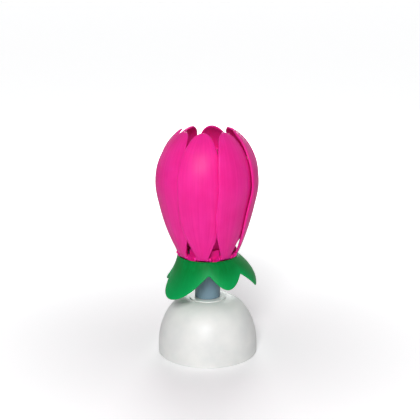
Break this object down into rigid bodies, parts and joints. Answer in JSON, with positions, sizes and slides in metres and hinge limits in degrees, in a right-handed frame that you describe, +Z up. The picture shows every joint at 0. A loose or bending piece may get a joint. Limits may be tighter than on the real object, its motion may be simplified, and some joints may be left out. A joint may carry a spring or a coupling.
{
  "type": "flower-shaped party candle",
  "caption": "Closed lotus bud on a round musical base; hinged petals, each with a small candle, open round an inner bud with a fountain while a motor turns the flower.",
  "frame": {"origin": "middle of the base's foot, on the table", "axes": "+Z up along the spindle, -Y towards the front, +X to the viewer's right"},
  "size_m": [0.059, 0.059, 0.1316],
  "materials": {
    "petal": "satin moulded magenta",
    "bud": "satin moulded magenta, a little darker",
    "hub": "satin moulded magenta",
    "calyx": "soft green moulding",
    "neck": "light blue-grey moulding",
    "base": "white moulding",
    "wax": "pale pink wax",
    "wick": "waxed cotton",
    "steel": "plain steel",
    "brass": "plain brass",
    "ceramic": "silvered ceramic",
    "board": "laminate",
    "chip": "black epoxy",
    "battery": "plain dark sleeve",
    "gear": "natural nylon",
    "tube": "rolled paper tube",
    "charge": "pressed grey powder",
    "fuse": "paper fuse"
  },
  "bodies": {
    "base": {"base_shell": "base", "base_floor": "base", "floor_screws": "steel", "battery_cell": "battery", "contact_plate": "steel", "contact_spring": "steel", "circuit_board": "board", "chip_blob": "chip", "buzzer_disc": "brass", "buzzer_ceramic": "ceramic", "motor_can": "steel", "motor_end_cap": "gear", "gearbox_plate": "base", "idler_axle": "steel", "switch_leaf_fixed": "brass", "switch_leaf_moving": "brass"},
    "flower": {"spindle": "neck", "drive_gear": "gear", "spindle_clip": "steel", "hub": "hub", "hub_screws": "steel", "hinge_pins": "hub", "calyx": "calyx", "inner_petals": "bud", "fountain_cup": "hub", "fountain_tube": "tube", "fountain_charge": "charge", "fountain_fuse": "fuse", "plunger_spring": "steel"},
    "plunger": {"push_rod": "neck"},
    "motor_rotor": {"motor_shaft": "steel", "pinion": "brass"},
    "idler": {"idler_gear": "gear"},
    "petal_1": {"petal_1": "petal", "candle_1": "wax", "wick_1": "wick"},
    "petal_2": {"petal_2": "petal", "candle_2": "wax", "wick_2": "wick"},
    "petal_3": {"petal_3": "petal", "candle_3": "wax", "wick_3": "wick"},
    "petal_4": {"petal_4": "petal", "candle_4": "wax", "wick_4": "wick"},
    "petal_5": {"petal_5": "petal", "candle_5": "wax", "wick_5": "wick"},
    "petal_6": {"petal_6": "petal", "candle_6": "wax", "wick_6": "wick"},
    "petal_7": {"petal_7": "petal", "candle_7": "wax", "wick_7": "wick"},
    "petal_8": {"petal_8": "petal", "candle_8": "wax", "wick_8": "wick"}
  },
  "joints": [
    {"name": "flower_spin", "type": "hinge", "parent": "base", "child": "flower", "pos_m": [0, 0, 0.034], "axis": [0, 0, 1], "continuous": true},
    {"name": "idler_spin", "type": "hinge", "parent": "base", "child": "idler", "pos_m": [0.009, -0.00809, 0.02], "axis": [0, 0, 1], "continuous": true},
    {"name": "motor_spin", "type": "hinge", "parent": "base", "child": "motor_rotor", "pos_m": [0, -0.015, 0.018], "axis": [0, 0, 1], "continuous": true},
    {"name": "petal_1_open", "type": "hinge", "parent": "flower", "child": "petal_1", "pos_m": [-0.00257, -0.0162, 0.0602], "axis": [0.9877, -0.1564, 0], "range_deg": [0, 80]},
    {"name": "petal_2_open", "type": "hinge", "parent": "flower", "child": "petal_2", "pos_m": [0.00964, -0.01327, 0.0602], "axis": [0.809, 0.5878, 0], "range_deg": [0, 80]},
    {"name": "petal_3_open", "type": "hinge", "parent": "flower", "child": "petal_3", "pos_m": [0.0162, -0.00257, 0.0602], "axis": [0.1564, 0.9877, 0], "range_deg": [0, 80]},
    {"name": "petal_4_open", "type": "hinge", "parent": "flower", "child": "petal_4", "pos_m": [0.01327, 0.00964, 0.0602], "axis": [-0.5878, 0.809, 0], "range_deg": [0, 80]},
    {"name": "petal_5_open", "type": "hinge", "parent": "flower", "child": "petal_5", "pos_m": [0.00257, 0.0162, 0.0602], "axis": [-0.9877, 0.1564, 0], "range_deg": [0, 80]},
    {"name": "petal_6_open", "type": "hinge", "parent": "flower", "child": "petal_6", "pos_m": [-0.00964, 0.01327, 0.0602], "axis": [-0.809, -0.5878, 0], "range_deg": [0, 80]},
    {"name": "petal_7_open", "type": "hinge", "parent": "flower", "child": "petal_7", "pos_m": [-0.0162, 0.00257, 0.0602], "axis": [-0.1564, -0.9877, 0], "range_deg": [0, 80]},
    {"name": "petal_8_open", "type": "hinge", "parent": "flower", "child": "petal_8", "pos_m": [-0.01327, -0.00964, 0.0602], "axis": [0.5878, -0.809, 0], "range_deg": [0, 80]},
    {"name": "plunger_slide", "type": "slide", "parent": "flower", "child": "plunger", "axis": [0, 0, 1], "range_m": [0, 0.0022], "deforming": ["plunger_spring"]}
  ],
  "couplings": [
    {"joint": "idler_spin", "follows": "flower_spin", "ratio": -3},
    {"joint": "motor_spin", "follows": "flower_spin", "ratio": 12},
    {"joint": "plunger_slide", "follows": "petal_1_open", "m_per_rad": 0.001575},
    {"joint": "petal_2_open", "follows": "petal_1_open", "ratio": 1},
    {"joint": "petal_3_open", "follows": "petal_1_open", "ratio": 1},
    {"joint": "petal_4_open", "follows": "petal_1_open", "ratio": 1},
    {"joint": "petal_5_open", "follows": "petal_1_open", "ratio": 1},
    {"joint": "petal_6_open", "follows": "petal_1_open", "ratio": 1},
    {"joint": "petal_7_open", "follows": "petal_1_open", "ratio": 1},
    {"joint": "petal_8_open", "follows": "petal_1_open", "ratio": 1}
  ]
}
